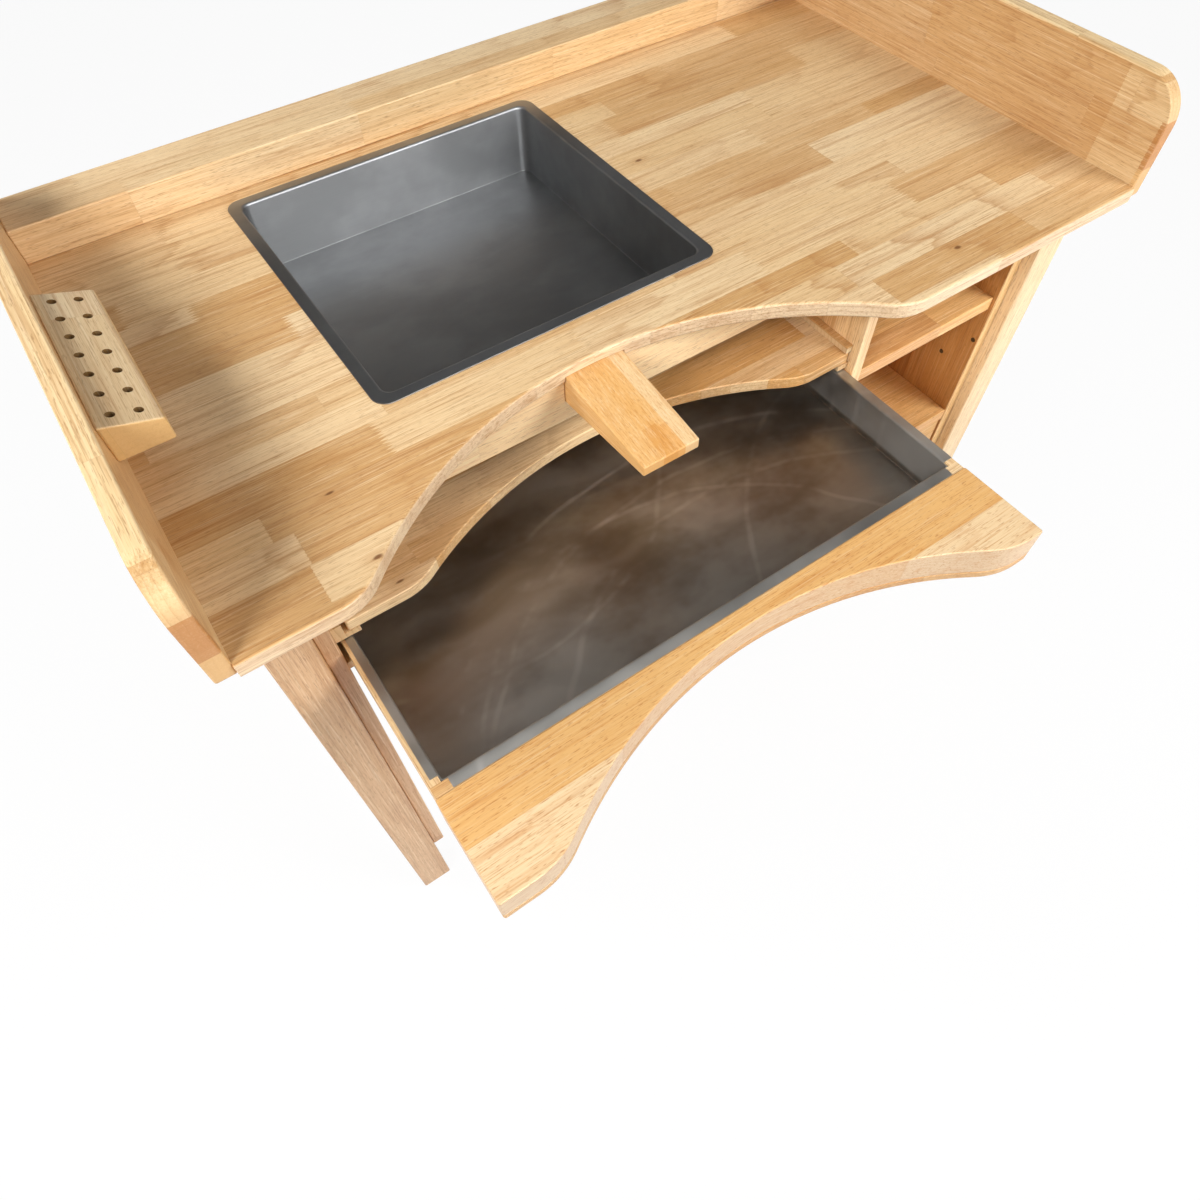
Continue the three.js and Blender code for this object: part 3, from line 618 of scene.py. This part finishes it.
def makeUpstand(side, s):
    xSpan, (front, back), (low, high) = nodeSpans("side_upstand_" + side)
    turn = np.linspace(0, np.pi / 2, 25)[:, None]

    def quarter(y, z, radius, begin):
        return (y, z) + radius * np.concatenate([np.cos(turn + begin), np.sin(turn + begin)], axis=1)

    outline = np.concatenate([
        quarter(front + s["toe"], low + s["toe"], s["toe"], np.pi),
        quarter(back - s["back"], low + s["back"], s["back"], -np.pi / 2),
        quarter(back - s["back"], high - s["back"], s["back"], 0),
        quarter(front + s["nose"], high - s["nose"], s["nose"], np.pi / 2)])
    piece = newObject(side + "Upstand", loft(carriedAlong(easedRings(outline, xSpan, s["ease"]), "x")))
    settle(piece, woods["upstand"], "top_wood", "side_upstand_" + side)


makeUpstand("left", upstand)
makeUpstand("right", upstand)
print("work top and upstands made")


# tool block: its section slopes down from the upstand, with two rows of drilled holes

toolBlock = {"lowSide": 25, "ease": 2.0, "rows": (-565, -543.5), "first": 215.5, "pitch": 29.5, "holes": 7,
             "holeRadius": 4, "drillPast": 20}


def makeToolBlock(s):
    (left, right), ySpan, (low, high) = nodeSpans("tool_block")
    corners = np.array([[low, left], [high, left], [low + s["lowSide"], right], [low, right]])
    outline = softened(corners, s["ease"])
    piece = newObject("toolBlock", loft(carriedAlong(easedRings(outline, ySpan, s["ease"]), "y")))
    centres = [(row, s["first"] + s["pitch"] * i) for row in s["rows"] for i in range(s["holes"])]
    span = (low - s["drillPast"], high + s["drillPast"])
    carve(piece, *[drill("z", centre, span, s["holeRadius"]) for centre in centres])
    settle(piece, woods["block"], "block_wood", "tool_block")
    darkenHoles(piece, "z", centres, s["holeRadius"])


makeToolBlock(toolBlock)


# solder pan: rounded rectangles follow the sheet's section, up the inside, over the flange and down the outside

solderPan = {"flange": 15, "sheet": 1.5, "flangeRadius": 18, "tubRadius": 12, "lip": 3.0, "floorBend": 0.8,
             # inset and drop of the flange's rounded edge
             "edge": ((0.6, 0.0), (0.15, 0.25), (0.0, 0.7)), "underEdge": 0.3,
             # run and drop where the flange turns down into the wall
             "shoulder": (0.5, 1.0), "outerBend": 4.0}


def makeSolderPan(s):
    xSpan, ySpan, (under, high) = nodeSpans("solder_pan")
    rest = layout["workHeight"]
    floor = under + s["sheet"]
    bend = np.linspace(0, np.pi / 2, 6)
    inner = np.column_stack([
        s["flange"] + s["floorBend"] * (1 - np.sin(bend)), floor + s["floorBend"] * (1 - np.cos(bend))])
    lip = np.column_stack([
        s["flange"] - s["lip"] * (1 - np.cos(bend)), high - s["lip"] * (1 - np.sin(bend))])
    rim = np.array([*[(inset, high - drop) for inset, drop in s["edge"]],
                    (0.0, rest + s["underEdge"]), (s["underEdge"], rest)])
    wall, turn, (run, drop) = s["flange"] - s["sheet"], s["outerBend"], s["shoulder"]
    outer = np.array([[wall - run, rest], [wall, rest - drop], [wall, under + turn],
                      [wall + 0.3 * turn, under + 0.3 * turn], [wall + turn, under]])
    section = np.concatenate([inner, lip, rim, outer])
    share = np.clip(section[:, 0] / s["flange"], 0, 1)
    between = s["flangeRadius"] * (1 - share) + s["tubRadius"] * share
    radii = np.where(section[:, 0] < wall, between, s["tubRadius"])
    rings = np.stack([
        atHeight(roundedOutline(xSpan + (inset, -inset), ySpan + (inset, -inset), radius, 8), height)
        for (inset, height), radius in zip(section, radii)])
    piece = newObject("solderPan", loft(rings[::-1]))
    settle(piece, steels["pan"], "pan_steel", "solder_pan")


makeSolderPan(solderPan)


# bench pin: a wedge seen from the side, carried across and drawn in a little towards its tip

benchPin = {"tipTop": 861, "tipThickness": 13, "backTop": 877, "backUnder": 840, "reach": 138,
            "tipNarrowing": 2, "ease": 1.5}


def makeBenchPin(s):
    xSpan, (tip, back) = nodeSpans("bench_pin")[:2]
    corners = np.array([[tip, s["tipTop"] - s["tipThickness"]], [s["reach"], s["backUnder"]],
                        [back, s["backUnder"]], [back, s["backTop"]], [s["reach"], s["backTop"]],
                        [tip, s["tipTop"]]], float)
    rings = carriedAlong(easedRings(softened(corners, s["ease"]), xSpan, s["ease"]), "x")
    middle = xSpan.mean()
    towardsTip = np.clip(1 - rings[..., 1] / s["reach"], 0, 1)
    narrowing = 1 - towardsTip * 2 * s["tipNarrowing"] / np.ptp(xSpan)
    rings[..., 0] = middle + (rings[..., 0] - middle) * narrowing
    settle(newObject("benchPin", loft(rings)), woods["pin"], "pin_wood", "bench_pin")


makeBenchPin(benchPin)
print("tool block, pan and pin made")


# scooped boards: pull-out shelf, armrest and the thin board under it

armrestScoop = {"margin": 60.5, "depth": 94, "cornerRun": 30}
scoopedBoards = {
    "slide_shelf": {"name": "pullShelf", "ease": 1.8, "corner": 2.5, "look": "shelf", "slot": "shelf_wood",
                    "scoop": {"margin": 93.5, "depth": 78, "cornerRun": 22}},
    "armrest": {"name": "armrestBoard", "ease": 2.0, "corner": 3.0, "look": "armrest",
                "slot": "armrest_wood", "scoop": armrestScoop},
    "armrest_base": {"name": "armrestBase", "ease": 0.9, "corner": 3.0, "look": "base",
                     "slot": "armrest_wood", "scoop": armrestScoop},
}


def makeScoopedBoard(node, s):
    xSpan, (front, back), zSpan = nodeSpans(node)
    outline = scoopedOutline(xSpan, front, back, s["corner"], **s["scoop"])
    piece = newObject(s["name"], loft(easedRings(outline, zSpan, s["ease"])))
    settle(piece, woods[s["look"]], s["slot"], node)


for node, s in scoopedBoards.items():
    makeScoopedBoard(node, s)
print("scooped boards made")


# straight boards with quarter-round edges, each carried along its longest side

boards = {
    "back_ledge": ("ledge", "top_wood", 2.0),
    "leg_front_left": ("leg", "leg_wood", 2.0), "leg_front_right": ("paleLeg", "leg_wood", 2.0),
    "leg_back_left": ("leg", "leg_wood", 2.0), "leg_back_right": ("paleLeg", "leg_wood", 2.0),
    "side_panel_left": ("panel", "panel_wood", 1.6), "side_panel_right": ("deepPanel", "panel_wood", 1.6),
    "cabinet_divider": ("divider", "panel_wood", 1.6),
    "back_rail": ("rail", "panel_wood", 1.6), "back_stretcher": ("rail", "panel_wood", 1.6),
    "cabinet_shelf": ("cabinet", "panel_wood", 1.6), "cabinet_board": ("cabinet", "panel_wood", 1.6),
    "cabinet_bottom": ("cabinet", "panel_wood", 1.6),
    "shelf_keeper_right": ("rail", "shelf_wood", 0.8),
    "lower_drawer_front": ("front", "drawer_wood", 1.8), "upper_drawer_front": ("front", "drawer_wood", 1.8),
}
boltHoles = {"node": "side_panel_right", "depth": 8, "radius": 3.6, "places": ((67, 655), (107, 606))}
boardCorner = 1.2    # of a board's ease


def makeBoard(node, look, slot, ease):
    spans = nodeSpans(node)
    axis = int(np.argmax(np.ptp(spans, axis=1)))
    first, second = (axis + 1) % 3, (axis + 2) % 3
    outline = roundedOutline(spans[first], spans[second], boardCorner * ease, 4)
    parts = node.split("_")
    name = parts[0] + "".join(part.capitalize() for part in parts[1:])
    piece = newObject(name, loft(carriedAlong(easedRings(outline, spans[axis], ease), "xyz"[axis])))
    drilled = node == boltHoles["node"]
    if drilled:
        span = spans[0][0] + np.array([-1, 1]) * boltHoles["depth"]
        carve(piece, *[drill("x", place, span, boltHoles["radius"]) for place in boltHoles["places"]])
    settle(piece, woods[look], slot, node)
    if drilled:
        darkenHoles(piece, "x", boltHoles["places"], boltHoles["radius"])


for node, row in boards.items():
    makeBoard(node, *row)
print("boards made:", len(boards))


# catch tray: a folded tub with a rim bent outwards along each wall, open at the corners

catchTray = {"sheet": 1.25, "cornerRadius": 1.6, "floorBend": 1.0, "outerBend": 2, "play": 0.5,
             "rimBend": 2.4, "rimNotch": 13, "rimThicker": 0.2, "rightReach": 3.5, "sideCrown": 0.1,
             "endCrown": 1.0}


def makeCatchTray(s):
    xSpan, ySpan, (under, high) = nodeSpans("catch_drawer_liner")
    wallX, wallY = nodeSpans("catch_drawer_bottom")[:2] + (s["play"], -s["play"])
    bend = np.linspace(0, np.pi / 2, 7)
    floor, wallTop = under + s["sheet"], high - s["rimBend"]
    rimUnder = high - s["sheet"] - s["rimThicker"]
    inner = np.column_stack([s["sheet"] + s["floorBend"] * (1 - np.sin(bend)),
                             floor + s["floorBend"] * (1 - np.cos(bend))])
    section = np.concatenate([inner, [[s["sheet"], wallTop], [0, wallTop], [0, under + s["outerBend"]],
                                      [s["outerBend"], under]]])
    radius = s["cornerRadius"]
    tub = np.stack([
        atHeight(roundedOutline(wallX + (inset, -inset), wallY + (inset, -inset), radius, 3), height)
        for inset, height in section])
    shapes = [loft(tub[::-1])]

    def rim(axis, along, outward, edge, wall, crown):
        # a quarter circle off the wall's inner face, a shallow arch out to the edge, and back below
        reach = abs(edge - wall) + s["sheet"]
        share = np.linspace(0, 1, 8)[1:]
        out = np.concatenate([s["rimBend"] * (1 - np.cos(bend)),
                              s["rimBend"] + (reach - s["rimBend"]) * share,
                              [reach, s["sheet"], s["sheet"]]])
        heights = np.concatenate([wallTop + s["rimBend"] * np.sin(bend), high - crown * share ** 2,
                                  [rimUnder, rimUnder, wallTop]])
        across = wall - outward * s["sheet"] + outward * out
        ends = np.stack([np.stack([across, heights, np.full(len(out), place)], axis=1) for place in along])
        points, faces = loft(ends[..., [2, 0, 1]] if axis == "x" else ends[..., [0, 2, 1]])
        # faces look outwards on all four rims
        if (axis == "x") == (outward > 0):
            faces = [face[::-1] for face in faces]
        return points, faces

    gap = s["rimNotch"] / 2
    sides, ends = wallY + (gap, -gap), wallX + (gap, -gap)
    shapes.append(rim("y", sides, -1, xSpan[0], wallX[0], s["sideCrown"]))
    shapes.append(rim("y", sides, 1, xSpan[1] + s["rightReach"], wallX[1], s["sideCrown"]))
    shapes.append(rim("x", ends, -1, ySpan[0], wallY[0], s["endCrown"]))
    shapes.append(rim("x", ends, 1, ySpan[1], wallY[1], s["sideCrown"]))
    settle(newObject("catchTray", gathered(*shapes)), steels["tray"], "liner_steel", "catch_drawer_liner")


makeCatchTray(catchTray)


# turned knobs: foot, neck and a round head spun about Y

knob = {"foot": 9, "neck": 7, "head": 14, "tip": 1.0, "sides": 48,
        # places along the knob, as shares of its length
        "footEnd": 0.05, "neckEnd": 0.2, "headMiddle": 0.65, "headHalf": 0.35,
        # the head's turn in units of pi, and how full it is
        "headTurn": (-0.42, 0.5), "fullness": 0.7}


def makeKnob(node, s):
    xSpan, (tip, back), zSpan = nodeSpans(node)
    length = back - tip
    turn = np.linspace(*s["headTurn"], 15)[:-1] * np.pi
    head = s["head"] * np.cos(turn) ** s["fullness"]
    radius = np.concatenate([[s["foot"], s["foot"], s["neck"]], head, [s["tip"]]])
    radius[2:4] = np.maximum(radius[2:4], s["neck"])
    headPlaces = s["headMiddle"] + s["headHalf"] * np.sin(turn)
    places = np.concatenate([[0, s["footEnd"], s["neckEnd"]], headPlaces, [1]])
    angle = np.linspace(0, 2 * np.pi, s["sides"], endpoint=False)
    circle = np.column_stack([np.cos(angle), np.sin(angle)])
    centre = (zSpan.mean(), xSpan.mean())
    rings = np.stack([atHeight(centre + r * circle, back - length * out) for r, out in zip(radius, places)])
    name = node.replace("_drawer_", "Drawer").replace("knob", "Knob")
    piece = newObject(name, loft(carriedAlong(rings[::-1], "y")))
    settle(piece, woods["front"], "drawer_wood", node)


makeKnob("lower_drawer_knob", knob)
makeKnob("upper_drawer_knob", knob)
print("tray and knobs made")


# CAD pieces that show as they are

plainNodes = {
    "front_rail": "paleRail", "shelf_guide_left": "drawer", "shelf_cleat_right": "drawer",
    "cabinet_back": "backPly", "catch_drawer_front": "rail",
}
for drawer in ("catch_drawer", "lower_drawer", "upper_drawer"):
    plainNodes.update({drawer + "_side_left": "drawer", drawer + "_side_right": "drawer",
                       drawer + "_back": "rail", drawer + "_bottom": "ply",
                       drawer + "_runner_left": "drawer", drawer + "_runner_right": "drawer"})
for node, look in plainNodes.items():
    thing = frame["nodes"][node]
    thing.data.materials.clear()
    thing.data.materials.append(woods[look])
print("CAD pieces finished:", len(plainNodes))


# stage: a pale floor that is white to the camera and to reflections, soft lamps and the photograph's camera

stage = {"floorColour": (0.86, 0.86, 0.86, 1), "floorRoughness": 0.9, "floorSize": 40.0, "shadowShare": 0.06,
         "fill": 0.02, "ceiling": 0.09, "backdropFade": (0.04, 0.34), "aim": (0, 0, 0.8), "distance": 2.8,
         # what reflections show besides the backdrop: direction, cosines of the rim and of the core, strength
         "screens": {"ahead": ((0.03, -0.856, 0.515), 0.92, 0.985, 6.0),
                     "low": ((0.05, -0.97, 0.24), 0.8, 0.95, 5.0),
                     "side": ((-0.84, 0.4, 0.36), 0.97, 0.99, 0.8),
                     "above": ((0.157, 0.136, 0.978), 0.985, 0.996, 2.2)},
         # azimuth from the front to the right, elevation, width, height, watts; reflections don't show them
         "lamps": {"frontRight": (40, 32, 1.2, 1.4, 54.0), "front": (22, 12, 1.0, 1.0, 22.0),
                   "frontLeft": (300, 34, 1.0, 1.0, 54.0), "left": (245, 33, 1.0, 1.0, 38.0),
                   "back": (180, 52, 1.2, 1.2, 9.0)},
         "eye": (-0.5119, -0.6683, 1.490), "right": (0.82330549, -0.56751822, -0.00954694),
         "up": (0.48238197, 0.69073523, 0.53869517), "lens": 25.14, "sensor": 36.0, "clip": (0.02, 200.0)}


def lightPath(start):
    # 1 for what the camera sees, and 1 for what a mirror or a glass sees
    path = start.node("ShaderNodeLightPath", {}, {}, "Is Camera Ray")
    return path, path.math("MAXIMUM", path.other("Is Glossy Ray"), path.other("Is Transmission Ray"))


def makeFloor(s):
    half = s["floorSize"] / 2
    mesh = bpy.data.meshes.new("floor")
    corners = [(-half, -half, 0), (half, -half, 0), (half, half, 0), (-half, half, 0)]
    mesh.from_pydata(corners, [], [(0, 1, 2, 3)])
    floor = bpy.data.objects.new("floor", mesh)
    bpy.context.scene.collection.objects.link(floor)
    look, start = newLook("paleFloor", {"Base Color": s["floorColour"], "Roughness": s["floorRoughness"]})
    white = start.node("ShaderNodeEmission", {}, {"Color": (1, 1, 1, 1), "Strength": 1.0})
    camera, mirror = lightPath(start)
    share = camera.math("MAXIMUM", camera, mirror) * (1 - s["shadowShare"])
    pale = Wire(look.node_tree, start.shader.outputs[0])
    mixed = start.node("ShaderNodeMixShader", {}, {0: share, 1: pale, 2: white})
    look.node_tree.links.new(mixed.socket, look.node_tree.nodes["Material Output"].inputs["Surface"])
    mesh.materials.append(look)


def makeLight(s):
    world = bpy.data.worlds.new("studio")
    bpy.context.scene.world = world
    world.use_nodes = True
    start = Wire(world.node_tree)
    background = world.node_tree.nodes["Background"]
    background.inputs["Color"].default_value = (1, 1, 1, 1)
    # reflections show a white backdrop round the horizon, a dark ceiling above and some bright screens
    camera, mirror = lightPath(start)
    way = start.node("ShaderNodeTexCoord", {}, {}, "Generated")
    rise = start.node("ShaderNodeSeparateXYZ", {}, {0: way}, "Z")
    mirrored = 1.0 - rise.fade(*s["backdropFade"]) * (1 - s["ceiling"])
    for direction, rim, core, strength in s["screens"].values():
        near = start.node("ShaderNodeVectorMath", {"operation": "DOT_PRODUCT"}, {0: way, 1: direction},
                          "Value")
        mirrored = mirrored + near.fade(rim, core) * strength
    unseen = s["fill"] + mirror * (mirrored - s["fill"])
    strength = unseen + camera * (1.0 - unseen)
    world.node_tree.links.new(strength.socket, background.inputs["Strength"])
    for name, (azimuth, elevation, width, height, power) in s["lamps"].items():
        lamp = bpy.data.lights.new(name, "AREA")
        lamp.shape, lamp.size, lamp.size_y, lamp.energy = "RECTANGLE", width, height, power
        holder = bpy.data.objects.new(name, lamp)
        bpy.context.scene.collection.objects.link(holder)
        holder.visible_glossy = False
        turn, tilt = np.radians([azimuth, elevation])
        away = Vector((np.sin(turn) * np.cos(tilt), -np.cos(turn) * np.cos(tilt), np.sin(tilt)))
        holder.location = Vector(s["aim"]) + away * s["distance"]
        holder.rotation_euler = (-away).to_track_quat("-Z", "Y").to_euler()


def makeCamera(s):
    right, up = Vector(s["right"]), Vector(s["up"])
    turn = Matrix((right, up, right.cross(up))).transposed()
    view = bpy.data.cameras.new("photoView")
    view.sensor_fit, view.sensor_width, view.lens = "HORIZONTAL", s["sensor"], s["lens"]
    view.clip_start, view.clip_end = s["clip"]
    holder = bpy.data.objects.new("photoView", view)
    bpy.context.scene.collection.objects.link(holder)
    holder.matrix_world = Matrix.Translation(s["eye"]) @ turn.to_4x4()
    bpy.context.scene.camera = holder


makeFloor(stage)
makeLight(stage)
makeCamera(stage)
bpy.context.scene.view_settings.view_transform = "Standard"
print("stage set")
